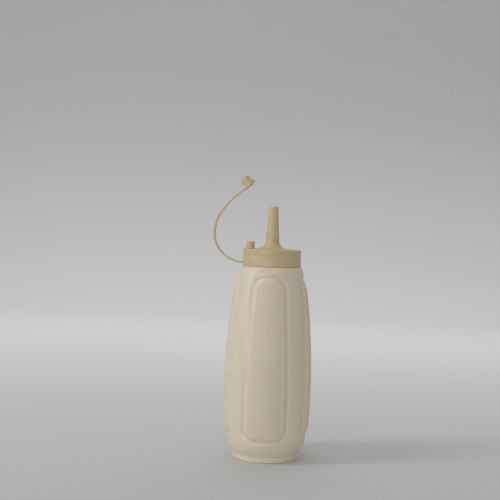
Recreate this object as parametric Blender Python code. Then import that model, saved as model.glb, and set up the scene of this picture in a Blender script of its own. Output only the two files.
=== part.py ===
"""A soft squeeze bottle for sauce, about 200 mm tall, standing on z = 0.

The bottle is a barrel with four raised panels. A screw lid with a long tapered nozzle closes it. A strap
leaves the lid's skirt at -X and holds a tip cap in the air beside the open nozzle, and a short post on the
lid is where the tip cap can be parked. +Z is up, the z axis is the bottle's, and one panel faces -Y. The
panels at the front and the back are a little wider and longer than those at the sides.
"""

import collections
import math

import bmesh
import bpy
from mathutils import Matrix, Vector
from mathutils.geometry import interpolate_bezier

MM = 0.001
GAP = 0.3  # clearance between two pieces that touch

# Sizes are in millimetres. A profile point is (radius, height).

# Bottle
BASE_RADIUS = 26.3
FOOT_RADIUS = 27.2
FOOT_HEIGHT = 4.6
FOOT_ROUND_HEIGHT = 0.9  # of the rounding between the base and the foot's side
BARREL = [  # from the crease above the foot, up the side, to the shoulder's edge under the lid
    (27.6, 5.1),
    (28.3, 6.3),
    (29.8, 9.0),
    (31.4, 14.0),
    (32.75, 24.0),
    (33.6, 40.0),
    (33.9, 60.0),
    (33.4, 80.0),
    (32.05, 100.0),
    (30.4, 118.0),
    (28.4, 132.0),
    (27.35, 137.5),
    (26.85, 140.5),
    (26.5, 142.5),
    (26.2, 144.4),
    (25.85, 146.4),
    (25.5, 148.0),
    (25.1, 149.4),
    (24.5, 150.6),
    (23.6, 151.6),
]
SHOULDER_TOP = 152.0
SHOULDER_EDGE = 0.4
NECK_RADIUS = 21.2
NECK_CLEARANCE = 0.4  # between the neck and the lid, all round and above

# Raised panels, one every quarter turn. The angles are half the panel's width seen from the axis, in degrees.
Panel = collections.namedtuple("Panel", "bottom top angle_at_bottom angle_at_top")
FRONT_PANEL = Panel(19.6, 141.6, 27.0, 22.8)
SIDE_PANEL = Panel(21.5, 139.3, 25.4, 21.7)
PANELS = (FRONT_PANEL, SIDE_PANEL, FRONT_PANEL, SIDE_PANEL)  # from -Y on round to +X, +Y and -X
PANEL_CORNER = 7.0
PANEL_RISE = 0.85
PANEL_SLOPE = 2.0  # half the width of the panel's sloping edge
GROOVE_DEPTH = 0.95
GROOVE_OFFSET = 2.5  # from the panel's outline to the lowest line of the groove round it
GROOVE_WIDTH = 1.4

# Lid
LID_BOTTOM = SHOULDER_TOP + GAP
LID_TOP = 165.7
LID_RADIUS = 23.2
LID_WALL = LID_RADIUS - NECK_RADIUS - NECK_CLEARANCE
LID_ROOF = 2.0
LID_RIM_ROUND = 0.7
LID_GROOVE_HEIGHT = 160.8
LID_GROOVE = 0.2
BEAD_HEIGHT = 1.5  # of the bead round the lid's lower edge
BEAD_RISE = 0.25
NECK_TOP = LID_TOP - LID_ROOF - NECK_CLEARANCE

# Nozzle, a cone with a wide concave foot
NOZZLE_TIP = 200.0
NOZZLE_TIP_RADIUS = 3.65
NOZZLE_CONE_BOTTOM = 173.0
NOZZLE_CONE_RADIUS = 5.4
NOZZLE_FLARE_RADIUS = 11.0
NOZZLE_FLARE_BOTTOM = 166.5
NOZZLE_ROUND = 0.5
OUTLET_RADIUS = 1.3
OUTLET_DEPTH = 14.0

# Parking post
POST_X = -17.7
POST_RADIUS = 3.5
POST_TOP = 171.5
POST_ROUND = 0.4

# Tip cap, a cup with a flange round its mouth
CAP_LENGTH = 8.2
CAP_RADIUS = 4.0
CAP_BORE_RADIUS = 3.3
CAP_BORE_DEPTH = 6.9
CAP_FLANGE_RADIUS = 5.1
CAP_FLANGE_HEIGHT = 2.0
CAP_ROUND = 0.6
CAP_FLANGE_ROUND = 0.3
CAP_MOUTH = (-18.9, 216.1)  # x and z of the middle of its mouth
CAP_TILT = -43.5  # degrees from upright, closed end towards -X

# Strap, a flat ribbon bent in the plane y = 0
STRAP_LEFTMOST = (-46.9, 177.5)
STRAP_ROOT_HEIGHT = 154.6
STRAP_ROOT_HANDLE = (-36.2, 154.9)
STRAP_LOW_HANDLE = (-46.9, 164.8)
STRAP_HIGH_HANDLE = (-46.9, 191.0)
STRAP_END_HANDLE = (-37.5, 202.6)
STRAP_WIDTH = 3.6
STRAP_THICKNESS_ENDS = 1.2
STRAP_THICKNESS_MIDDLE = 1.7
STRAP_FLATNESS = (0.7, 0.5)  # powers that square off its round section, across and through
STRAP_STATIONS = 14  # on each of its two curves
STRAP_SIDES = 10

# Mesh
EDGE_OFFSETS = (-1.9, 0.3, 2.5, 4.6)  # columns along a panel's outline, as distances from it
END_OFFSETS = (-7.2, -5.4, -4.0, -2.9, -1.9, -0.8, 0.3, 1.4, 2.5, 3.5, 4.6)  # rings over a panel's end
PANEL_COLUMNS = 6  # cells across a panel, inside its edge
GAP_COLUMNS = 4  # cells between two panels, outside their edges
SIDE_RINGS = 10  # rings along a panel's straight sides
BARREL_STEPS = 2  # rings between two points of the barrel, above and below the panels
LEAST_STEP = 0.5  # between two columns or two rings
CURVE_STEPS = 12  # between two points of the barrel, where its radius is read
SHARP_ANGLE = 35.0  # degrees, over which an edge is shaded as a crease
LID_SIDES = 40
SMALL_SIDES = 24


# ---------------------------------------------------------------- scene and materials


def clear_scene():
    for obj in list(bpy.data.objects):
        bpy.data.objects.remove(obj)


def plastic(name, colour, roughness):
    material = bpy.data.materials.new(name)
    material.use_nodes = True
    surface = material.node_tree.nodes["Principled BSDF"]
    surface.inputs["Base Color"].default_value = (*colour, 1)
    surface.inputs["Roughness"].default_value = roughness
    surface.inputs["Metallic"].default_value = 0
    return material


# ---------------------------------------------------------------- shapes


def add_object(name, bm, material):
    """Makes the bmesh an object, with its faces turned outwards and its round surfaces shaded smooth."""
    bmesh.ops.recalc_face_normals(bm, faces=bm.faces)
    mesh = bpy.data.meshes.new(name)
    bm.to_mesh(mesh)
    bm.free()
    mesh.shade_smooth()
    mesh.set_sharp_from_angle(angle=math.radians(SHARP_ANGLE))
    mesh.materials.append(material)
    obj = bpy.data.objects.new(name, mesh)
    bpy.context.scene.collection.objects.link(obj)
    return obj


def skin(rings):
    """A closed bmesh over rings of as many points each, in millimetres, with both ends capped."""
    bm = bmesh.new()
    loops = [[bm.verts.new(Vector(point) * MM) for point in ring] for ring in rings]
    count = len(loops[0])
    for low, high in zip(loops, loops[1:]):
        for i in range(count):
            j = (i + 1) % count
            bm.faces.new((low[i], low[j], high[j], high[i]))
    bm.faces.new(loops[0])
    bm.faces.new(loops[-1])
    return bm


def turned(profile, sides):
    """A closed bmesh from a profile whose first and last points are on the z axis."""
    bm = bmesh.new()
    points = [bm.verts.new((radius * MM, 0, height * MM)) for radius, height in profile]
    edges = [bm.edges.new(pair) for pair in zip(points, points[1:])]
    bmesh.ops.spin(bm, geom=points + edges, axis=(0, 0, 1), angle=math.tau, steps=sides, use_merge=True)
    bmesh.ops.remove_doubles(bm, verts=bm.verts, dist=0.001 * MM)
    return bm


def arc(centre, radii, start, end, steps):
    """Points of an elliptical arc of (across, up) radii, from one angle to another, both ends included."""
    angles = [math.radians(start + (end - start) * i / steps) for i in range(steps + 1)]
    return [
        (centre[0] + radii[0] * math.cos(angle), centre[1] + radii[1] * math.sin(angle))
        for angle in angles
    ]


def rounded_edge(radius, top, round_radius):
    """The outer top edge of a turned piece, from its top face to its side."""
    return arc((radius - round_radius, top - round_radius), (round_radius, round_radius), 90, 0, 3)


def smooth_through(knots, steps):
    """Points of a Catmull-Rom curve through the knots, with the given number of steps between two."""
    points = []
    last = len(knots) - 1
    for i in range(last):
        p0, p1, p2, p3 = (Vector(knots[min(max(k, 0), last)]) for k in (i - 1, i, i + 1, i + 2))
        for step in range(steps):
            t = step / steps
            curve = 2 * p1 + (p2 - p0) * t
            curve += (2 * p0 - 5 * p1 + 4 * p2 - p3) * t**2
            curve += (3 * p1 - p0 - 3 * p2 + p3) * t**3
            points.append(curve / 2)
    points.append(Vector(knots[-1]))
    return points


# ---------------------------------------------------------------- bottle


def barrel_radius(curve, height):
    """The barrel's plain radius at a height, read along its side curve."""
    for (r0, z0), (r1, z1) in zip(curve, curve[1:]):
        if z0 <= height <= z1:
            return r0 + (r1 - r0) * (height - z0) / (z1 - z0)
    return curve[0][0] if height < curve[0][1] else curve[-1][0]


def panel_half_width(panel, radius, height):
    share = min(max((height - panel.bottom) / (panel.top - panel.bottom), 0), 1)
    angle = panel.angle_at_bottom + (panel.angle_at_top - panel.angle_at_bottom) * share
    return math.radians(angle) * radius


def past_corners(panel, height):
    """How far a height is beyond the straight part of the panel's sides: negative along it."""
    middle = (panel.top + panel.bottom) / 2
    return abs(height - middle) - (panel.top - panel.bottom) / 2 + PANEL_CORNER


def beyond_panel(panel, across, height, half_width):
    """Signed distance from the panel's rounded outline: negative inside it."""
    dx = abs(across) - half_width + PANEL_CORNER
    dz = past_corners(panel, height)
    outside = math.hypot(max(dx, 0), max(dz, 0))
    return outside + min(max(dx, dz), 0) - PANEL_CORNER


def relief(distance):
    """Height over the plain barrel: the panel, its sloping edge and the groove round it."""
    share = min(max((PANEL_SLOPE - distance) / (2 * PANEL_SLOPE), 0), 1)
    rise = PANEL_RISE * share**2 * (3 - 2 * share)
    groove = GROOVE_DEPTH * math.exp(-(((distance - GROOVE_OFFSET) / GROOVE_WIDTH) ** 2))
    return rise - groove


def outline_at(panel, offset, half_width, height):
    """Half the width, at a height, of the curve that runs this far outside a panel's outline."""
    corner = PANEL_CORNER + offset
    into_corner = min(max(past_corners(panel, height), 0), corner)
    return half_width - PANEL_CORNER + math.sqrt(corner**2 - into_corner**2)


def columns_across(panel, half_width, radius, height):
    """Distances from a panel's middle of the mesh's columns, which bend with its outline. The last is halfway
    to the next panel."""
    edges = []
    for offset in EDGE_OFFSETS:
        wide = outline_at(panel, offset, half_width, height)
        edges.append(max(wide, edges[-1] + LEAST_STEP) if edges else wide)
    to_next = math.pi / len(PANELS) * radius
    inside = [edges[0] * (2 * i / PANEL_COLUMNS - 1) for i in range(1, PANEL_COLUMNS)]
    gap_step = (to_next - edges[-1]) * 2 / GAP_COLUMNS
    between = [edges[-1] + gap_step * i for i in range(1, GAP_COLUMNS // 2)]
    right = edges + between
    left = [-value for value in reversed(right)]
    return [*left, *inside, *right, to_next]


def bottle_ring(radius, height, curved):
    """One ring of the bottle. The panels' relief fades to nothing within a few millimetres of them."""
    plain = barrel_radius(curved, height)
    ring = []
    for n, panel in enumerate(PANELS):
        middle = math.radians(-90) + n * math.tau / len(PANELS)
        half_width = panel_half_width(panel, plain, height)
        for across in columns_across(panel, half_width, plain, height):
            angle = middle + across / plain
            raised = radius + relief(beyond_panel(panel, across, height, half_width))
            ring.append((raised * math.cos(angle), raised * math.sin(angle), height))
    return ring


def spaced(heights):
    """The heights in order, without those too close to the one before."""
    kept = []
    for height in sorted(heights):
        if not kept or height - kept[-1] >= LEAST_STEP:
            kept.append(height)
    return kept


def barrel_heights():
    """Heights of the barrel's rings, close together over the panels' ends."""
    low_end = spaced(panel.bottom - offset for panel in set(PANELS) for offset in END_OFFSETS)
    high_end = spaced(panel.top + offset for panel in set(PANELS) for offset in END_OFFSETS)
    start, stop = low_end[-1], high_end[0]
    sides = [start + (stop - start) * i / SIDE_RINGS for i in range(1, SIDE_RINGS)]
    curve = [height for _, height in smooth_through(BARREL, BARREL_STEPS)]
    plain = [z for z in curve if z < low_end[0] - LEAST_STEP or z > high_end[-1] + LEAST_STEP]
    return sorted(plain + low_end + sides + high_end)


def make_bottle(material):
    curved = smooth_through(BARREL, CURVE_STEPS)
    foot_round = (FOOT_RADIUS - BASE_RADIUS, FOOT_ROUND_HEIGHT)
    foot = arc((BASE_RADIUS, FOOT_ROUND_HEIGHT), foot_round, -90, 0, 5)
    foot.append((FOOT_RADIUS, FOOT_HEIGHT))
    rings = [bottle_ring(radius, height, curved) for radius, height in foot]
    rings += [bottle_ring(barrel_radius(curved, z), z, curved) for z in barrel_heights()]
    shoulder_edge = (BARREL[-1][0] - SHOULDER_EDGE, SHOULDER_TOP)
    neck = [shoulder_edge, (NECK_RADIUS, SHOULDER_TOP), (NECK_RADIUS, NECK_TOP)]
    rings += [bottle_ring(radius, height, curved) for radius, height in neck]
    return add_object("bottle", skin(rings), material)


# ---------------------------------------------------------------- lid


def lid_profile():
    """From the bottom of the outlet, up and over the nozzle's tip, down the lid and in under its roof."""
    tip = NOZZLE_TIP
    outlet = [(0, tip - OUTLET_DEPTH), (OUTLET_RADIUS, tip - OUTLET_DEPTH), (OUTLET_RADIUS, tip)]
    edge = rounded_edge(NOZZLE_TIP_RADIUS, tip, NOZZLE_ROUND)
    flare_radii = (NOZZLE_FLARE_RADIUS - NOZZLE_CONE_RADIUS, NOZZLE_CONE_BOTTOM - NOZZLE_FLARE_BOTTOM)
    flare = arc((NOZZLE_FLARE_RADIUS, NOZZLE_CONE_BOTTOM), flare_radii, 180, 270, 6)
    rim = rounded_edge(LID_RADIUS, LID_TOP, LID_RIM_ROUND)
    groove = [
        (LID_RADIUS, LID_GROOVE_HEIGHT + LID_GROOVE),
        (LID_RADIUS - LID_GROOVE, LID_GROOVE_HEIGHT),
        (LID_RADIUS, LID_GROOVE_HEIGHT - LID_GROOVE),
    ]
    bead_radii = (BEAD_RISE, BEAD_HEIGHT / 2)
    bead = arc((LID_RADIUS, LID_BOTTOM + BEAD_HEIGHT / 2), bead_radii, 90, -60, 5)
    inside = LID_RADIUS - LID_WALL
    skirt = [(LID_RADIUS - BEAD_RISE, LID_BOTTOM), (inside, LID_BOTTOM)]
    roof = [(inside, LID_TOP - LID_ROOF), (0, LID_TOP - LID_ROOF)]
    return outlet + edge + flare + rim + groove + bead + skirt + roof


def make_lid(material):
    lid = add_object("lid", turned(lid_profile(), LID_SIDES), material)
    root = LID_TOP - LID_ROOF / 2
    edge = rounded_edge(POST_RADIUS, POST_TOP, POST_ROUND)
    profile = [(0, POST_TOP), *edge, (POST_RADIUS, root), (0, root)]
    post = add_object("post", turned(profile, SMALL_SIDES), material)
    post.location.x = POST_X * MM
    post.hide_render = True
    post.display_type = "WIRE"
    join = lid.modifiers.new("parking post", "BOOLEAN")
    join.operation = "UNION"
    join.solver = "EXACT"
    join.object = post
    return lid


# ---------------------------------------------------------------- tip cap and strap


def cap_frame():
    """Places the tip cap: its own z axis runs from its mouth to its closed end."""
    turn = Matrix.Rotation(math.radians(CAP_TILT), 4, "Y")
    return Matrix.Translation(Vector((CAP_MOUTH[0], 0, CAP_MOUTH[1])) * MM) @ turn


def make_tip_cap(material):
    flange_lip = CAP_FLANGE_RADIUS - CAP_FLANGE_ROUND
    profile = [
        (0, CAP_LENGTH),
        *rounded_edge(CAP_RADIUS, CAP_LENGTH, CAP_ROUND),
        (CAP_RADIUS, CAP_FLANGE_HEIGHT),
        (flange_lip, CAP_FLANGE_HEIGHT),
        (CAP_FLANGE_RADIUS, CAP_FLANGE_HEIGHT - CAP_FLANGE_ROUND),
        (CAP_FLANGE_RADIUS, CAP_FLANGE_ROUND),
        (flange_lip, 0),
        (CAP_BORE_RADIUS, 0),
        (CAP_BORE_RADIUS, CAP_BORE_DEPTH),
        (0, CAP_BORE_DEPTH),
    ]
    cap = add_object("tip_cap", turned(profile, SMALL_SIDES), material)
    cap.matrix_world = cap_frame()
    return cap


def strap_route():
    """The ribbon's centre line, from the lid's skirt out, up and over to the tip cap's flange."""
    meets = Vector((-CAP_FLANGE_RADIUS - GAP, 0, CAP_FLANGE_HEIGHT / 2)) * MM
    end = cap_frame() @ meets / MM
    root = (-LID_RADIUS - GAP, STRAP_ROOT_HEIGHT)
    halves = [
        (root, STRAP_ROOT_HANDLE, STRAP_LOW_HANDLE, STRAP_LEFTMOST),
        (STRAP_LEFTMOST, STRAP_HIGH_HANDLE, STRAP_END_HANDLE, (end.x, end.z)),
    ]
    route = []
    for knots in halves:
        points = interpolate_bezier(*(Vector((x, 0, z)) for x, z in knots), STRAP_STATIONS)
        route += points[1:] if route else points
    return route


def squared(value, power):
    return math.copysign(abs(value) ** power, value)


def ribbon_section(centre, tangent, thickness):
    """A rounded flat section across the route: wide along Y, thin in the plane of the bend."""
    across = Vector((0, 1, 0))
    up = tangent.cross(across).normalized()
    ring = []
    for i in range(STRAP_SIDES):
        angle = math.tau * (i + 0.5) / STRAP_SIDES
        wide = squared(math.cos(angle), STRAP_FLATNESS[0]) * STRAP_WIDTH / 2
        thin = squared(math.sin(angle), STRAP_FLATNESS[1]) * thickness / 2
        ring.append(centre + across * wide + up * thin)
    return ring


def make_strap(material):
    route = strap_route()
    last = len(route) - 1
    rings = []
    for i, centre in enumerate(route):
        tangent = route[min(i + 1, last)] - route[max(i - 1, 0)]
        swell = math.sin(math.pi * i / last) * (STRAP_THICKNESS_MIDDLE - STRAP_THICKNESS_ENDS)
        rings.append(ribbon_section(centre, tangent, STRAP_THICKNESS_ENDS + swell))
    return add_object("strap", skin(rings), material)


clear_scene()
cream = plastic("cream body plastic", (0.78, 0.68, 0.53), 0.4)
beige = plastic("beige lid plastic", (0.62, 0.495, 0.285), 0.35)
make_bottle(cream)
make_lid(beige)
make_tip_cap(beige)
make_strap(beige)
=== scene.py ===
# %% [markdown]
# # A squeeze bottle for sauce
#
# The real thing is a soft bottle, blown from cream polyethylene inside a steel mould, so its walls follow
# the mould and nothing on it is sharper than about a millimetre. Four raised panels with a pebbled grain
# give a wet hand its grip. The lid is a second moulding in a yellower beige: a screw cap, a long tapered
# nozzle, a short post, and a thin strap that holds a small cap ready for the nozzle's tip.
#
# A solid model of the bottle is already there, with every size settled. This script loads it as a fixed
# frame and dresses it: finer shapes where the solid is faceted, and finishes made from nodes. It works in
# metres, with +Z up and the origin in the middle of the base.

# %% Load the solid model
import math

import bmesh
import bpy
from mathutils import Matrix, Vector


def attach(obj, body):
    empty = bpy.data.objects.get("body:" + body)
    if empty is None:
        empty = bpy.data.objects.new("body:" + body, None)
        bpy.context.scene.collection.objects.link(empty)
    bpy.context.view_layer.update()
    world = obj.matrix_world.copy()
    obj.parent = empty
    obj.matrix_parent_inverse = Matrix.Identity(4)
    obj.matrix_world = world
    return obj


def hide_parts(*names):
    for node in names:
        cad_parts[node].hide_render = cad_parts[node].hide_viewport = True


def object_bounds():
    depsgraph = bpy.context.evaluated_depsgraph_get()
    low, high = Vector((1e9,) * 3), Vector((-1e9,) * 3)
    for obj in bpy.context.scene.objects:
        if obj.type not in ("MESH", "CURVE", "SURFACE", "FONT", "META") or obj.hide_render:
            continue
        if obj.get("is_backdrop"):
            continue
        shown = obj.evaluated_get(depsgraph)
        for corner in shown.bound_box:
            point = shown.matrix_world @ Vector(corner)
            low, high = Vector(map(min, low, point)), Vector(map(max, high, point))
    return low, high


MM = 0.001
scene = bpy.context.scene
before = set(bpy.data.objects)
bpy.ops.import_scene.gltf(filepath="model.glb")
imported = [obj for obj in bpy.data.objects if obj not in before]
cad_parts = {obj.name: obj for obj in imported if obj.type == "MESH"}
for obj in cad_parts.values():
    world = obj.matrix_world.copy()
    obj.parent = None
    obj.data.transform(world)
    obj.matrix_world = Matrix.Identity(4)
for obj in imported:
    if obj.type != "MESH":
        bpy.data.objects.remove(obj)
cad_box = [list(corner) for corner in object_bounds()]
print("solid pieces:", sorted(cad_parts))

# %% [markdown]
# ## Sums that make nodes
#
# Both the raised panels and the plastic's finish are sums over a surface: how far is this point from the
# panel's outline, how high is the grain here. Drawn by hand they are dozens of Math nodes. Blender reads
# such a value from a socket, so a small class can hold the socket and let Python's own + - * / add the Math
# nodes. The same class serves a material's tree and a geometry tree, because they share these nodes.

# %% A value that varies over a surface


class Field:
    """One output socket of a node tree. Sums on it add Math nodes to the tree."""

    def __init__(self, tree, socket=None):
        self.tree = tree
        self.socket = socket

    def node(self, kind, settings=None, sockets=None, output=0):
        """Adds a node and gives one of its outputs. Settings come first, as some change its sockets."""
        made = self.tree.nodes.new(kind)
        for name, value in (settings or {}).items():
            setattr(made, name, value)
        for name, value in (sockets or {}).items():
            if isinstance(value, Field):
                self.tree.links.new(value.socket, made.inputs[name])
            else:
                made.inputs[name].default_value = value
        return Field(self.tree, made.outputs[output] if made.outputs else None)

    def other(self, output):
        """Another output of the same node."""
        return Field(self.tree, self.socket.node.outputs[output])

    def maths(self, operation, *values):
        """One Math node, of this field alone or of the values given."""
        return self.node("ShaderNodeMath", {"operation": operation}, dict(enumerate(values or (self,))))

    def __add__(self, other):
        return self.maths("ADD", self, other)

    def __sub__(self, other):
        return self.maths("SUBTRACT", self, other)

    def __rsub__(self, other):
        return self.maths("SUBTRACT", other, self)

    def __mul__(self, other):
        return self.maths("MULTIPLY", self, other)

    def __truediv__(self, other):
        return self.maths("DIVIDE", self, other)

    def __rtruediv__(self, other):
        return self.maths("DIVIDE", other, self)

    def __abs__(self):
        return self.maths("ABSOLUTE")

    def larger(self, other):
        return self.maths("MAXIMUM", self, other)

    def smaller(self, other):
        return self.maths("MINIMUM", self, other)

    def faded(self, start, end):
        """0 at start, 1 at end, with a soft curve between them."""
        ends = {"Value": self, "From Min": start, "From Max": end}
        return self.node("ShaderNodeMapRange", {"interpolation_type": "SMOOTHSTEP"}, ends)

    def bell(self, width):
        """1 where the value is 0, fading to nothing on both sides of it."""
        share = self / width
        return (share * share * -1).maths("EXPONENT")


print("fields add, subtract, multiply and divide")

# %% [markdown]
# ## Geometry trees
#
# A geometry tree is a recipe with named inputs. Here each recipe is built in code, run once on an object,
# and its result kept as a plain mesh, so that nothing depends on the modifier afterwards. An input is set
# by its socket's identifier, since two sockets may share a name.

# %% Build a recipe, and run it once


def new_recipe(name, inputs):
    """A geometry tree with inputs (name, socket type, value). It returns the tree and their fields."""
    tree = bpy.data.node_groups.new(name, "GeometryNodeTree")
    face = tree.interface
    face.new_socket("Geometry", in_out="INPUT", socket_type="NodeSocketGeometry")
    face.new_socket("Geometry", in_out="OUTPUT", socket_type="NodeSocketGeometry")
    for label, kind, value in inputs:
        socket = face.new_socket(label, in_out="INPUT", socket_type="NodeSocket" + kind)
        if kind != "Material":
            socket.default_value = value
    source = Field(tree).node("NodeGroupInput")
    return tree, {socket.name: Field(tree, socket) for socket in source.socket.node.outputs if socket.name}


def close_recipe(geometry, material):
    """Ends the tree with real copies and the material."""
    real = geometry.node("GeometryNodeRealizeInstances", None, {"Geometry": geometry})
    dressed = real.node("GeometryNodeSetMaterial", None, {"Geometry": real, "Material": material})
    dressed.node("NodeGroupOutput", None, {0: dressed})


def run_recipe(obj, tree, material):
    """Gives the object's name to a plain mesh object made by the recipe, and removes the first one."""
    modifier = obj.modifiers.new(tree.name, "NODES")
    modifier.node_group = tree
    for item in tree.interface.items_tree:
        if item.in_out == "INPUT" and item.socket_type == "NodeSocketMaterial":
            modifier[item.identifier] = material
    return keep_result(obj)


def keep_result(obj):
    """Turns an object and its modifiers into a plain mesh object of the same name."""
    graph = bpy.context.evaluated_depsgraph_get()
    mesh = bpy.data.meshes.new_from_object(
        obj.evaluated_get(graph), preserve_all_data_layers=True, depsgraph=graph
    )
    obj.modifiers.clear()
    name = obj.name
    bpy.data.objects.remove(obj)
    mesh.name = name
    kept = bpy.data.objects.new(name, mesh)
    scene.collection.objects.link(kept)
    return kept


def tell(obj):
    """Prints how large the finished piece is."""
    size = " x ".join(f"{side / MM:.1f}" for side in obj.dimensions)
    triangles = sum(len(face.vertices) - 2 for face in obj.data.polygons)
    print(f"{obj.name}: {size} mm, {triangles} triangles")


print("recipes ready")

# %% [markdown]
# ## The camera
#
# The bottle stands a little right of the middle of a square picture, seen almost level from 72 cm with a
# long lens, and the picture leans by two degrees. A small sideways shift of the lens puts it off centre
# without turning the camera, so the bottle is still seen straight on.

# %% Place the camera
CAMERA_DISTANCE = 0.72
CAMERA_HEIGHT = 0.184
CAMERA_SIDE = math.radians(2.6)
CAMERA_DIP = math.radians(1.5)
CAMERA_LEAN = math.radians(2.04)
CAMERA_SENSOR = 36  # mm
CAMERA_LENS = 64.8  # mm
CAMERA_SHIFT = -0.0446  # of the picture's width
CAMERA_NEAREST = 0.01

lens = bpy.data.cameras.new("camera")
lens.sensor_width = CAMERA_SENSOR
lens.lens = CAMERA_LENS
lens.shift_x = CAMERA_SHIFT
lens.clip_start = CAMERA_NEAREST
camera = bpy.data.objects.new("camera", lens)
scene.collection.objects.link(camera)
stand = Vector((math.sin(CAMERA_SIDE), -math.cos(CAMERA_SIDE), 0)) * CAMERA_DISTANCE
camera.matrix_world = (
    Matrix.Translation(stand + Vector((0, 0, CAMERA_HEIGHT)))
    @ Matrix.Rotation(CAMERA_SIDE, 4, "Z")
    @ Matrix.Rotation(math.radians(90) - CAMERA_DIP, 4, "X")
    @ Matrix.Rotation(CAMERA_LEAN, 4, "Z")
)
scene.camera = camera
print("camera", [round(value, 3) for value in camera.location], f"{CAMERA_LENS} mm")

# %% [markdown]
# ## The body's plastic
#
# The bottle is opaque cream polyethylene, satin rather than glossy. Light goes a few millimetres into it,
# which softens the shadows on its left and right. Where the mould was sandblasted and etched, on the
# panels, the skin is pebbled: domes two or three millimetres across with creases between them, which also
# look a little duller. Elsewhere it is smooth, with the faint unevenness of a blown wall.
#
# The large grain is in the mesh, further down. The material adds what is finer than the mesh, and paints
# shade into the creases of the fine grain as a darker colour. It reads the attribute `grain`, which the
# recipe
# for the panels leaves on each point: 1 where the skin is pebbled and 0 where it is smooth.

# %% Cream polyethylene
POLYETHYLENE_IOR = 1.5


def new_finish(name):
    """A material, its Principled shader and the fields for the object's own coordinates."""
    material = bpy.data.materials.new(name)
    material.use_nodes = True
    surface = material.node_tree.nodes["Principled BSDF"]
    place = Field(material.node_tree).node("ShaderNodeTexCoord", output="Object")
    return material, surface, place


def mixed(share, first, second):
    """A colour between two, by a field from 0 to 1. Each of the two is a plain colour or a field."""
    first, second = (colour if isinstance(colour, Field) else (*colour, 1) for colour in (first, second))
    return share.node(
        "ShaderNodeMix", {"data_type": "RGBA"}, {"Factor": share, 6: first, 7: second}, output=2
    )


def noise(place, size, detail=2.0):
    """Soft noise from 0 to 1, whose blots are about this large, in metres."""
    sockets = {"Vector": place, "Scale": 1 / size, "Detail": detail, "Roughness": 0.5}
    return place.node("ShaderNodeTexNoise", None, sockets)


def pebbles(place, size, smoothness, reach):
    """Height of a grain of rounded pebbles, 1 on top of each and 0 in the creases between them.

    The reach is where a pebble ends, as a share of its size.
    """
    sockets = {"Vector": place, "Scale": 1 / size, "Smoothness": smoothness, "Randomness": 0.9}
    near = place.node("ShaderNodeTexVoronoi", {"feature": "SMOOTH_F1"}, sockets, output="Distance")
    return near.faded(reach, 0.1)


def connect(field, surface, socket):
    field.tree.links.new(field.socket, surface.inputs[socket])


def bumped(height, surface, depth):
    """Feeds the height, from 0 to 1, to the shader's normal as a relief this deep, in metres."""
    sockets = {"Height": height * depth, "Distance": 1.0, "Strength": 1.0}
    connect(height.node("ShaderNodeBump", None, sockets), surface, "Normal")


def let_light_in(surface, weight, reach, depth):
    """Light scatters below the skin, this deep in metres, and red, green and blue by their own reach."""
    surface.inputs["Subsurface Weight"].default_value = weight
    surface.inputs["Subsurface Radius"].default_value = reach
    surface.inputs["Subsurface Scale"].default_value = depth
    surface.inputs["IOR"].default_value = POLYETHYLENE_IOR


CREAM = (0.78, 0.68, 0.525)
CREAM_PALE = (0.81, 0.715, 0.565)
# Painted shade: the creases between the fine pebbles get a darker colour that stands in for the shade
# falling in them.
CREAM_CREASE_SHADE = (0.68, 0.58, 0.43)
CREAM_ROUGHNESS = 0.25
CREASE_SHADE_SHARE = 0.45  # how far a crease is darkened towards its painted shade
FINE_PEBBLE_SIZE = 0.9 * MM
FINE_PEBBLE_DEPTH = 0.06 * MM
FINE_NOISE_SIZE = 0.5 * MM
CLOUD_SIZE = 14 * MM

cream, surface, place = new_finish("cream polyethylene")
grain = place.node("ShaderNodeAttribute", {"attribute_name": "grain"}, output="Fac")
fine = pebbles(place, FINE_PEBBLE_SIZE, smoothness=0.35, reach=0.75)
clouds = noise(place, CLOUD_SIZE)
smooth_skin = mixed(clouds, CREAM, CREAM_PALE)
# Painted shade in the creases of the fine grain, on the pebbled panels only.
crease_shade = (1 - fine) * grain * CREASE_SHADE_SHARE
connect(mixed(crease_shade, smooth_skin, CREAM_CREASE_SHADE), surface, "Base Color")
connect(grain * 0.22 + clouds * 0.06 + CREAM_ROUGHNESS, surface, "Roughness")
bumped(fine * grain * 0.9 + noise(place, FINE_NOISE_SIZE) * 0.1, surface, FINE_PEBBLE_DEPTH)
let_light_in(surface, 0.25, (1.0, 0.8, 0.55), 3 * MM)
print(cream.name, "with", len(cream.node_tree.nodes), "nodes")

# %% [markdown]
# ## The lid's plastic
#
# The lid, its strap and the tip cap come out of one injection mould, so they share one finish: a beige
# deeper and yellower than the body, satin, with the very fine even grain of a polished mould. Injected
# plastic flows from the gate in faint streaks, so the colour varies a little over centimetres.

# %% Beige polyethylene
BEIGE = (0.61, 0.485, 0.28)
BEIGE_PALE = (0.65, 0.525, 0.315)
BEIGE_ROUGHNESS = 0.33
STREAK_SIZE = 9 * MM
MOULD_GRAIN_SIZE = 0.35 * MM
MOULD_GRAIN_DEPTH = 0.006 * MM

beige, surface, place = new_finish("beige polyethylene")
streaks = noise(place, STREAK_SIZE)
connect(mixed(streaks, BEIGE, BEIGE_PALE), surface, "Base Color")
connect(streaks * 0.08 + BEIGE_ROUGHNESS, surface, "Roughness")
bumped(noise(place, MOULD_GRAIN_SIZE), surface, MOULD_GRAIN_DEPTH)
let_light_in(surface, 0.1, (1.0, 0.75, 0.4), 2 * MM)
print(beige.name, "with", len(beige.node_tree.nodes), "nodes")

# %% [markdown]
# ## Turned shapes
#
# Most of the bottle is round, so most of it is a profile spun round the z axis. A profile is a list of
# (radius, height) points in millimetres. Short arcs stand in for the rounded edges that every moulded piece
# has, because an edge of no width catches no light.

# %% Profiles, and how they are spun


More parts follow.
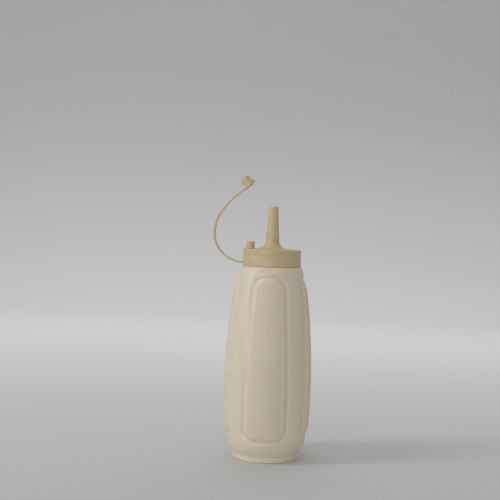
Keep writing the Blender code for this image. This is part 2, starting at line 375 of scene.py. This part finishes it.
def arc(centre, radii, start, end, steps=8):
    """Points of an elliptical arc from one angle to another, both ends included."""
    angles = [math.radians(start + (end - start) * i / steps) for i in range(steps + 1)]
    return [(centre[0] + radii[0] * math.cos(a), centre[1] + radii[1] * math.sin(a)) for a in angles]


def top_edge(radius, top, rounding):
    """The rounded outer edge of a face that looks up."""
    return arc((radius - rounding, top - rounding), (rounding, rounding), 90, 0)


def low_edge(radius, bottom, rounding):
    """The rounded outer edge of a face that looks down."""
    return arc((radius - rounding, bottom + rounding), (rounding, rounding), 0, -90)


def smooth_through(knots, steps):
    """Points of a Catmull-Rom curve through the knots, with the given number of steps between two."""
    points = []
    last = len(knots) - 1
    for i in range(last):
        p0, p1, p2, p3 = (Vector(knots[min(max(k, 0), last)]) for k in (i - 1, i, i + 1, i + 2))
        for step in range(steps):
            t = step / steps
            curve = 2 * p1 + (p2 - p0) * t
            curve += (2 * p0 - 5 * p1 + 4 * p2 - p3) * t**2
            curve += (3 * p1 - p0 - 3 * p2 + p3) * t**3
            points.append(curve / 2)
    return points + [Vector(knots[-1])]


def add_piece(name, bm, material):
    """Makes the bmesh an object with its faces turned outwards and shaded smooth."""
    bmesh.ops.recalc_face_normals(bm, faces=bm.faces)
    mesh = bpy.data.meshes.new(name)
    bm.to_mesh(mesh)
    bm.free()
    mesh.shade_smooth()
    mesh.materials.append(material)
    obj = bpy.data.objects.new(name, mesh)
    scene.collection.objects.link(obj)
    return obj


def turned(profile, angles):
    """A closed bmesh: a profile that starts and ends on the z axis, turned to each of these angles."""
    bm = bmesh.new()
    rings = []
    for radius, height in profile:
        if radius == 0:
            rings.append([bm.verts.new((0, 0, height * MM))])
        else:
            spots = [(radius * MM * math.cos(a), radius * MM * math.sin(a), height * MM) for a in angles]
            rings.append([bm.verts.new(spot) for spot in spots])
    for low, high in zip(rings, rings[1:]):
        for i in range(len(angles)):
            j = (i + 1) % len(angles)
            corners = [low[i % len(low)], low[j % len(low)], high[j % len(high)], high[i % len(high)]]
            bm.faces.new(dict.fromkeys(corners))
    return bm


def even_angles(sides):
    return [math.tau * i / sides for i in range(sides)]


SHARP_ANGLE = math.radians(50)  # edges sharper than this are shaded as edges
print("a quarter arc of 8 steps has", len(top_edge(10, 5, 1)), "points")

# %% [markdown]
# ## The bottle without its panels
#
# First comes the plain blown shape: a foot that stands proud of a crease, a barrel that swells to 68 mm and
# draws in to the shoulder, and a neck that hides inside the lid. Its side is one smooth curve through the
# same heights and radii as the solid's. Rings and columns are set close together where the panels' edges
# will rise, and further apart where the wall stays plain, which keeps the mesh under 200 000 triangles.

# %% The plain bottle
UNDERSIDE = [(0, 0.6), (8, 0.58), (16, 0.45), (21, 0.2), (23.4, 0.04)]  # a shallow recess
FOOT_INSIDE = 26.3  # radius where the foot meets the floor
FOOT_RADIUS = 27.2
FOOT_ROUND_HEIGHT = 0.9
FOOT_SIDE = [(FOOT_RADIUS, 3.2), (27.17, 3.9)]
BARREL = [
    (27.22, 4.4),
    (27.6, 5.1),
    (28.3, 6.3),
    (29.8, 9.0),
    (31.4, 14.0),
    (32.75, 24.0),
    (33.6, 40.0),
    (33.9, 60.0),
    (33.4, 80.0),
    (32.05, 100.0),
    (30.4, 118.0),
    (28.4, 132.0),
    (27.35, 137.5),
    (26.85, 140.5),
    (26.5, 142.5),
    (26.2, 144.4),
    (25.85, 146.4),
    (25.5, 148.0),
    (25.1, 149.4),
    (24.5, 150.6),
    (23.6, 151.6),
]
NECK_RADIUS = 21.2
SHOULDER_TOP = 152.2
SHOULDER_EDGE = [(23.45, 151.85), (23.3, 152.08), (23.1, SHOULDER_TOP)]
NECK_TOP = 163.3
NECK_EDGE = 0.5
CURVE_STEPS = 24
RING_ZONES = [(4.5, 0.35), (7, 0.7), (14.4, 0.44), (28, 0.72), (132, 0.44), (151.6, 1)]
SIDE_COLUMNS = [(-45, 2.2), (-33, 0.68), (-18.2, 1.2), (18.2, 0.68), (33, 2.2), (45, 1)]  # degrees
FRONT_COLUMNS = [(-45, 2.2), (-34.5, 0.68), (-19.5, 1.2), (19.5, 0.68), (34.5, 2.2), (45, 1)]


def spread(zones):
    """Values from the first zone's start on. A zone is (start, step up to the next one's start)."""
    values = []
    for (start, step), (end, _) in zip(zones, zones[1:]):
        count = math.ceil((end - start) / step)
        values += [start + (end - start) * i / count for i in range(count)]
    return values


def radius_at(curve, height):
    """Reads the curve's radius at a height."""
    for (r0, z0), (r1, z1) in zip(curve, curve[1:]):
        if z0 <= height <= z1:
            return r0 + (r1 - r0) * (height - z0) / (z1 - z0)
    return curve[-1][0]


curve = smooth_through(BARREL, CURVE_STEPS)
foot_round = (FOOT_RADIUS - FOOT_INSIDE, FOOT_ROUND_HEIGHT)
profile = [*UNDERSIDE, *arc((FOOT_INSIDE, FOOT_ROUND_HEIGHT), foot_round, -90, 0, 12), *FOOT_SIDE]
profile += [(radius_at(curve, height), height) for height in spread(RING_ZONES)]
profile += [*SHOULDER_EDGE, (NECK_RADIUS, SHOULDER_TOP), (NECK_RADIUS, NECK_TOP - NECK_EDGE)]
profile += [(NECK_RADIUS - NECK_EDGE, NECK_TOP), (0, NECK_TOP)]

quarters = (SIDE_COLUMNS, FRONT_COLUMNS, SIDE_COLUMNS, FRONT_COLUMNS)  # round from +X
columns = [math.radians(90 * n + angle) for n, zones in enumerate(quarters) for angle in spread(zones)]
bottle = add_piece("squeeze_bottle_body", turned(profile, columns), cream)
print(len(profile), "rings of", len(columns), "columns")

# %% [markdown]
# ## Panels, groove and grain
#
# Each panel is a rounded rectangle wrapped on the barrel. It stands 0.85 mm proud, with a shallow groove
# round it, and the next one follows after a quarter turn. The two at the sides are a little narrower and
# shorter than the two at the front and the back. That is a rule, so a recipe of geometry nodes makes it: it
# measures each point's distance from the nearest panel's outline, negative inside, and moves the point
# outwards by a height read from that distance. A copy pasted by hand would have to be redone at every
# change.
#
# The same recipe adds the grain's pebbles, the faint waviness of a blown wall and the mould's parting line
# on both sides. It stores `grain` for the material.

# %% A recipe for the panels
SIZES = [  # input of the recipe, and its value in millimetres
    ("Front Bottom", 19.6),
    ("Front Top", 141.6),
    ("Side Bottom", 21.5),
    ("Side Top", 139.3),
    ("Corner", 7.0),
    ("Rise", 0.85),
    ("Slope", 2.0),
    ("Groove Depth", 0.95),
    ("Groove Offset", 2.5),
    ("Groove Width", 1.4),
    ("Pebble Size", 2.5),
    ("Pebble Height", 0.21),
    ("Wave Size", 28.0),
    ("Wave Height", 0.12),
    ("Seam Width", 0.3),
    ("Seam Height", 0.07),
]
GRAIN_STARTS = 1.6 * MM  # inside a panel's outline
GRAIN_FULL = 3.2 * MM
STILL_BELOW = (1 * MM, 8 * MM)  # no waves and no seam at the first height, all of them at the second
STILL_ABOVE = (151 * MM, 146 * MM)
panel_inputs = [(label, "Float", size * MM) for label, size in SIZES]
panel_inputs += [
    ("Panels", "Float", 4.0),
    ("Front Half Angle at Bottom", "Float", math.radians(27.0)),
    ("Front Half Angle at Top", "Float", math.radians(22.8)),
    ("Side Half Angle at Bottom", "Float", math.radians(25.4)),
    ("Side Half Angle at Top", "Float", math.radians(21.7)),
    ("Material", "Material", None),
]
tree, given = new_recipe("raised panels", panel_inputs)
skin = given["Geometry"]
spot = skin.node("GeometryNodeInputPosition")
x = spot.node("ShaderNodeSeparateXYZ", None, {0: spot}, output="X")
y, z = x.other("Y"), x.other("Z")
radius = (x * x + y * y).maths("SQRT")
angle = y.maths("ARCTAN2", y, x)

turn = math.tau / given["Panels"]
sector = ((angle + math.tau / 4) / turn + 0.5).maths("FRACT") - 0.5
across = sector * turn * radius
at_side = x.maths("GREATER_THAN", abs(x), abs(y))


def of_panel(size):
    """The front panels' size or the side panels', whichever the point is nearer to."""
    return given["Front " + size] * (1 - at_side) + given["Side " + size] * at_side


bottom, top = of_panel("Bottom"), of_panel("Top")
share = z.node("ShaderNodeMapRange", None, {"Value": z, "From Min": bottom, "From Max": top})
half_angle = of_panel("Half Angle at Bottom") * (1 - share) + of_panel("Half Angle at Top") * share
middle = (top + bottom) * 0.5
half_height = (top - bottom) * 0.5
aside = abs(across) - half_angle * radius + given["Corner"]
along = abs(z - middle) - half_height + given["Corner"]
beyond = aside.larger(0.0) * aside.larger(0.0) + along.larger(0.0) * along.larger(0.0)
distance = beyond.maths("SQRT") + aside.larger(along).smaller(0.0) - given["Corner"]

risen = distance.faded(given["Slope"], given["Slope"] * -1)
groove = (distance - given["Groove Offset"]).bell(given["Groove Width"])
grain = distance.faded(-GRAIN_STARTS, -GRAIN_FULL)
cells = pebbles(spot, given["Pebble Size"], smoothness=0.3, reach=0.8)
waves = noise(spot, given["Wave Size"], detail=1.0)
standing = z.faded(*STILL_BELOW) * z.faded(*STILL_ABOVE)
height = risen * given["Rise"] - groove * given["Groove Depth"]
height += (cells - 0.5) * grain * given["Pebble Height"]
height += (waves - 0.5) * standing * given["Wave Height"]
height += y.bell(given["Seam Width"]) * standing * given["Seam Height"]

outwards = x.node("ShaderNodeCombineXYZ", None, {"X": x / radius * height, "Y": y / radius * height})
shaped = skin.node("GeometryNodeSetPosition", None, {"Geometry": skin, "Offset": outwards})
store = {"data_type": "FLOAT", "domain": "POINT"}
marked = shaped.node(
    "GeometryNodeStoreNamedAttribute", store, {"Geometry": shaped, "Name": "grain", "Value": grain}
)
close_recipe(marked, given["Material"])
bottle = run_recipe(bottle, tree, cream)
tell(bottle)

# %% [markdown]
# ## The lid, its nozzle and its post
#
# The lid is round but for one thing, the little post beside the nozzle where the tip cap is parked. So the
# lid and nozzle are one spun profile, and the post is spun by itself and joined with a Boolean union. The
# solid's lid has 40 sides. This one has 128, rounded edges, a V groove round the wall and a bead at the
# lower rim that catches the light, and the post gets a small fillet at its foot as a moulded one has.

# %% The lid
LID_SIDES = 128
LID_RADIUS = 23.2
LID_INSIDE = 21.6
LID_BOTTOM = 152.3
LID_TOP = 165.7
LID_ROOF = 163.7  # the underside of its roof
LID_EDGE = 0.7
LID_LOW_EDGE = 0.25
LID_GROOVE_HEIGHT = 160.8
LID_GROOVE = [(0, 0.34), (-0.04, 0.24), (-0.17, 0), (-0.04, -0.24), (0, -0.34)]  # outwards, up
BEAD_TOP = 1.6  # above the lid's lower edge
BEAD_MIDDLE = 0.8
BEAD_RADII = (0.25, 0.7)
NOZZLE_TIP = 200.0
NOZZLE_TIP_RADIUS = 3.65
NOZZLE_EDGE = 0.5
NOZZLE_FLARE = arc((11.0, 173.0), (5.6, 6.5), 180, 270, 16)
ROOF_SLOPE = [(11.6, 166.35), (12.4, 166.1), (13.6, 165.85), (15, 165.72), (17, LID_TOP)]
OUTLET_RADIUS = 1.3
OUTLET_BOTTOM = 186.0
OUTLET_EDGE = 0.3
POST_SIDES = 64
POST_X = -17.7
POST_RADIUS = 3.5
POST_TOP = 171.5
POST_EDGE = 0.4
POST_FILLET = 0.6
POST_ROOT = 0.5  # how far it reaches into the roof

profile = [(0, OUTLET_BOTTOM), (OUTLET_RADIUS, OUTLET_BOTTOM)]
profile += [(OUTLET_RADIUS, NOZZLE_TIP - OUTLET_EDGE), (OUTLET_RADIUS + OUTLET_EDGE, NOZZLE_TIP)]
profile += top_edge(NOZZLE_TIP_RADIUS, NOZZLE_TIP, NOZZLE_EDGE)
profile += [*NOZZLE_FLARE, *ROOF_SLOPE, *top_edge(LID_RADIUS, LID_TOP, LID_EDGE)]
profile += [(LID_RADIUS + out, LID_GROOVE_HEIGHT + up) for out, up in LID_GROOVE]
profile += [(LID_RADIUS, LID_BOTTOM + BEAD_TOP)]
profile += arc((LID_RADIUS, LID_BOTTOM + BEAD_MIDDLE), BEAD_RADII, 90, -60)
profile += [(LID_RADIUS - LID_LOW_EDGE, LID_BOTTOM), (LID_INSIDE, LID_BOTTOM)]
profile += [(LID_INSIDE, LID_ROOF), (0, LID_ROOF)]
lid = add_piece("nozzle_lid", turned(profile, even_angles(LID_SIDES)), beige)

profile = [(0, POST_TOP), *top_edge(POST_RADIUS, POST_TOP, POST_EDGE)]
profile += arc((POST_RADIUS + POST_FILLET, LID_TOP + POST_FILLET), (POST_FILLET, POST_FILLET), 180, 262)
profile += [(POST_RADIUS + POST_ROOT, LID_TOP - POST_ROOT), (0, LID_TOP - POST_ROOT)]
post = add_piece("post", turned(profile, even_angles(POST_SIDES)), beige)
post.data.transform(Matrix.Translation((POST_X * MM, 0, 0)))
join = lid.modifiers.new("post", "BOOLEAN")
join.operation = "UNION"
join.solver = "EXACT"
join.object = post
lid = keep_result(lid)
bpy.data.objects.remove(post)
lid.data.set_sharp_from_angle(angle=SHARP_ANGLE)
tell(lid)

# %% [markdown]
# ## The tip cap
#
# The tip cap is a small cup with a flange round its mouth, held upside down and tilted by the strap. It is
# spun upright, then turned and moved in its mesh, so that the finished object still sits at the origin.

# %% The tip cap
CAP_SIDES = 96
CAP_LENGTH = 8.2
CAP_RADIUS = 4.0
CAP_EDGE = 0.6
CAP_BORE_RADIUS = 3.3
CAP_BORE_DEPTH = 6.9
CAP_BORE_FILLET = 0.4
CAP_MOUTH_EDGE = 0.2
CAP_FLANGE_RADIUS = 5.1
CAP_FLANGE_HEIGHT = 2.0
CAP_FLANGE_EDGE = 0.3
CAP_TILT = math.radians(-43.5)
CAP_MOUTH = Vector((-18.9, 0, 216.1)) * MM

cap_place = Matrix.Translation(CAP_MOUTH) @ Matrix.Rotation(CAP_TILT, 4, "Y")
neck = (CAP_RADIUS + CAP_FLANGE_EDGE, CAP_FLANGE_HEIGHT + CAP_FLANGE_EDGE)
profile = [(0, CAP_LENGTH), *top_edge(CAP_RADIUS, CAP_LENGTH, CAP_EDGE)]
profile += arc(neck, (CAP_FLANGE_EDGE, CAP_FLANGE_EDGE), 180, 270, 4)
profile += top_edge(CAP_FLANGE_RADIUS, CAP_FLANGE_HEIGHT, CAP_FLANGE_EDGE)
profile += low_edge(CAP_FLANGE_RADIUS, 0, CAP_FLANGE_EDGE)
profile += [(CAP_BORE_RADIUS + CAP_MOUTH_EDGE, 0), (CAP_BORE_RADIUS, CAP_MOUTH_EDGE)]
profile += [(CAP_BORE_RADIUS, CAP_BORE_DEPTH - CAP_BORE_FILLET)]
profile += [(CAP_BORE_RADIUS - CAP_BORE_FILLET, CAP_BORE_DEPTH), (0, CAP_BORE_DEPTH)]
tip_cap = add_piece("tip_cap_cup", turned(profile, even_angles(CAP_SIDES)), beige)
tip_cap.data.transform(cap_place)
tip_cap.data.set_sharp_from_angle(angle=SHARP_ANGLE)
tell(tip_cap)

# %% [markdown]
# ## The strap
#
# The strap is a flat ribbon along a bent path, so it is a recipe too: a path, a section swept along it, and
# a width and thickness that change on the way. It leaves the lid's skirt, bows out and back over, and ends
# in the cap's flange. At both ends it widens, because a strap that met a thicker wall at its own width
# would tear there. In the middle it is a little thicker.

# %% A recipe for the strap
STRAP_PATH = [  # knot, handle before it, handle after it, as (x, z)
    ((-22.6, 154.58), (-22.6, 154.58), (-36.2, 154.9)),
    ((-46.9, 177.5), (-46.9, 164.8), (-46.9, 191.0)),
    (None, (-37.5, 202.6), None),
]
STRAP_SINK = 0.5  # how far the strap reaches into the flange
FLARE_AT_LID = 0.05  # of the strap's length
FLARE_AT_CAP = 0.035
strap_end = cap_place @ (Vector((-CAP_FLANGE_RADIUS + STRAP_SINK, 0, CAP_FLANGE_HEIGHT / 2)) * MM)

path = bpy.data.curves.new("strap path", "CURVE")
path.dimensions = "3D"
bend = path.splines.new("BEZIER")
bend.bezier_points.add(len(STRAP_PATH) - 1)
for knot, (at, before, after) in zip(bend.bezier_points, STRAP_PATH):
    knot.handle_left_type = knot.handle_right_type = "FREE"
    knot.co = Vector((at[0], 0, at[1])) * MM if at else strap_end
    knot.handle_left = Vector((before[0], 0, before[1])) * MM
    knot.handle_right = Vector((after[0], 0, after[1])) * MM if after else knot.co
strap = bpy.data.objects.new("cap_strap", path)
scene.collection.objects.link(strap)

strap_inputs = [
    ("Width", "Float", 3.6 * MM),
    ("Thickness", "Float", 1.2 * MM),
    ("Edge Rounding", "Float", 0.45 * MM),
    ("Swelling", "Float", 0.42),
    ("Wider Ends", "Float", 0.35),
    ("Stations", "Int", 120),
    ("Material", "Material", None),
]
tree, given = new_recipe("ribbon along a path", strap_inputs)
line = given["Geometry"]
line = line.node("GeometryNodeResampleCurve", None, {"Curve": line, "Count": given["Stations"]})
for name, kind, value in (
    ("centre", "FLOAT_VECTOR", line.node("GeometryNodeInputPosition")),
    ("along", "FLOAT", line.node("GeometryNodeSplineParameter", output="Factor")),
):
    sockets = {"Geometry": line, "Name": name, "Value": value}
    line = line.node("GeometryNodeStoreNamedAttribute", {"data_type": kind, "domain": "POINT"}, sockets)
section = line.node(
    "GeometryNodeCurvePrimitiveQuadrilateral", None, {"Width": given["Width"], "Height": given["Thickness"]}
)
section = section.node(
    "GeometryNodeFilletCurve",
    {"mode": "POLY"},
    {"Curve": section, "Count": 4, "Radius": given["Edge Rounding"], "Limit Radius": True},
)
swept = line.node(
    "GeometryNodeCurveToMesh", None, {"Curve": line, "Profile Curve": section, "Fill Caps": True}
)
centre = swept.node("GeometryNodeInputNamedAttribute", {"data_type": "FLOAT_VECTOR"}, {"Name": "centre"})
along = swept.node("GeometryNodeInputNamedAttribute", {"data_type": "FLOAT"}, {"Name": "along"})
at_ends = along.bell(FLARE_AT_LID) + (1 - along).bell(FLARE_AT_CAP)
thicker = (along * math.pi).maths("SINE") * given["Swelling"] + at_ends * given["Wider Ends"] + 1
wider = at_ends * given["Wider Ends"] + 1
scales = along.node("ShaderNodeCombineXYZ", None, {"X": thicker, "Y": wider, "Z": thicker})
spot = swept.node("GeometryNodeInputPosition")
off = spot.node("ShaderNodeVectorMath", {"operation": "SUBTRACT"}, {0: spot, 1: centre})
off = off.node("ShaderNodeVectorMath", {"operation": "MULTIPLY_ADD"}, {0: off, 1: scales, 2: centre})
shaped = swept.node("GeometryNodeSetPosition", None, {"Geometry": swept, "Position": off})
for name in ("centre", "along"):
    shaped = shaped.node("GeometryNodeRemoveAttribute", None, {"Geometry": shaped, "Name": name})
shaped = shaped.node("GeometryNodeSetShadeSmooth", None, {"Geometry": shaped})
close_recipe(shaped, given["Material"])
strap = run_recipe(strap, tree, beige)
strap.data.set_sharp_from_angle(angle=SHARP_ANGLE)
tell(strap)

# %% [markdown]
# ## Hand the pieces over to the frame
#
# The bottle has no joints, so all of it rides on one body. Each piece stands for the solid that it was made
# from, which stays, hidden, for collision.

# %% Each piece, its solid and its plastic
for piece, node, plastic in (
    (bottle, "bottle", "body_plastic"),
    (lid, "lid", "lid_plastic"),
    (tip_cap, "tip_cap", "lid_plastic"),
    (strap, "strap", "lid_plastic"),
):
    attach(piece, "root")
    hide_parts(node)
    print(piece.name, "stands for", node)

# %% [markdown]
# ## Floor and backdrop
#
# The bottle stands on pale paper that lies flat, then rises in a wide curve behind it. With no corner there
# is no line behind the bottle, only the slow change of light where the paper turns up.

# %% The paper
PAPER = (0.655, 0.656, 0.664)
PAPER_DARKER = 0.98  # its darkest clouds, as a share of that
PAPER_CLOUD_SIZE = 0.4
PAPER_ROUGHNESS = 0.9
PAPER_HALF_WIDTH = 2.5
PAPER_FRONT = -2.0
PAPER_TURNS = 1.05  # where the paper starts to rise, behind the bottle
PAPER_CURVE = 0.5
PAPER_TOP = 2.4

paper, surface, place = new_finish("pale paper")
tone = noise(place, PAPER_CLOUD_SIZE)
connect(mixed(tone, PAPER, tuple(value * PAPER_DARKER for value in PAPER)), surface, "Base Color")
surface.inputs["Roughness"].default_value = PAPER_ROUGHNESS
line = [(PAPER_FRONT, 0), *arc((PAPER_TURNS, PAPER_CURVE), (PAPER_CURVE, PAPER_CURVE), -90, 0, 32)]
line.append((PAPER_TURNS + PAPER_CURVE, PAPER_TOP))
bm = bmesh.new()
edges = [[bm.verts.new((side, y, z)) for y, z in line] for side in (-PAPER_HALF_WIDTH, PAPER_HALF_WIDTH)]
for i in range(len(line) - 1):
    bm.faces.new((edges[0][i], edges[0][i + 1], edges[1][i + 1], edges[1][i]))
backdrop = add_piece("backdrop", bm, paper)
backdrop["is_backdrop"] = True
print("backdrop of", len(backdrop.data.polygons), "faces")

# %% [markdown]
# ## Light
#
# A tall soft light from the left, like a window, makes the bright flank and the long faint shadow to the
# right. A low one in front of it fills the side that faces the camera, down to the foot. A wide strip hangs
# over the paper behind the bottle and lights it more than the rest, which sets the pale bottle off.
# Everything else is even light from all round, which the background gives.

# %% Lights


def soft_light(name, place, aim, size, watts, colour, spread=180):
    lamp = bpy.data.lights.new(name, "AREA")
    lamp.shape = "RECTANGLE"
    lamp.size, lamp.size_y = size
    lamp.energy = watts
    lamp.spread = math.radians(spread)
    lamp.color = colour
    light = bpy.data.objects.new(name, lamp)
    facing = (Vector(aim) - Vector(place)).to_track_quat("-Z", "Y")
    light.matrix_world = Matrix.Translation(place) @ facing.to_matrix().to_4x4()
    scene.collection.objects.link(light)
    print(name, watts, "W")


soft_light("window", (-1.2, -0.4, 0.95), (0, 0, 0.1), (0.3, 1.5), 5.95, (0.93, 0.98, 1.0))
soft_light("fill", (-0.62, -1.5, 0.11), (0, 0, 0.05), (1.0, 0.2), 4.25, (0.88, 0.94, 1.0))
soft_light("strip", (0, 0.82, 1.1), (0, 0.82, 0), (2.4, 0.4), 4.15, (1.0, 0.99, 0.98), spread=106)

ROOM_COLOUR = (1.0, 0.98, 0.955)
ROOM_STRENGTH = 0.455
world = bpy.data.worlds.new("room")
world.use_nodes = True
background = world.node_tree.nodes["Background"]
background.inputs["Color"].default_value = (*ROOM_COLOUR, 1)
background.inputs["Strength"].default_value = ROOM_STRENGTH
scene.world = world
scene.view_settings.view_transform = "Standard"

# %% [markdown]
# ## Finish
#
# Last, the size of the dressed bottle is printed beside the size of the solids.

# %% Print the sizes and finish
visual_box = [list(corner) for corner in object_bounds()]
for name, box in (("solids", cad_box), ("dressed", visual_box)):
    print(name, [round((high - low) / MM, 1) for low, high in zip(*box)], "mm")
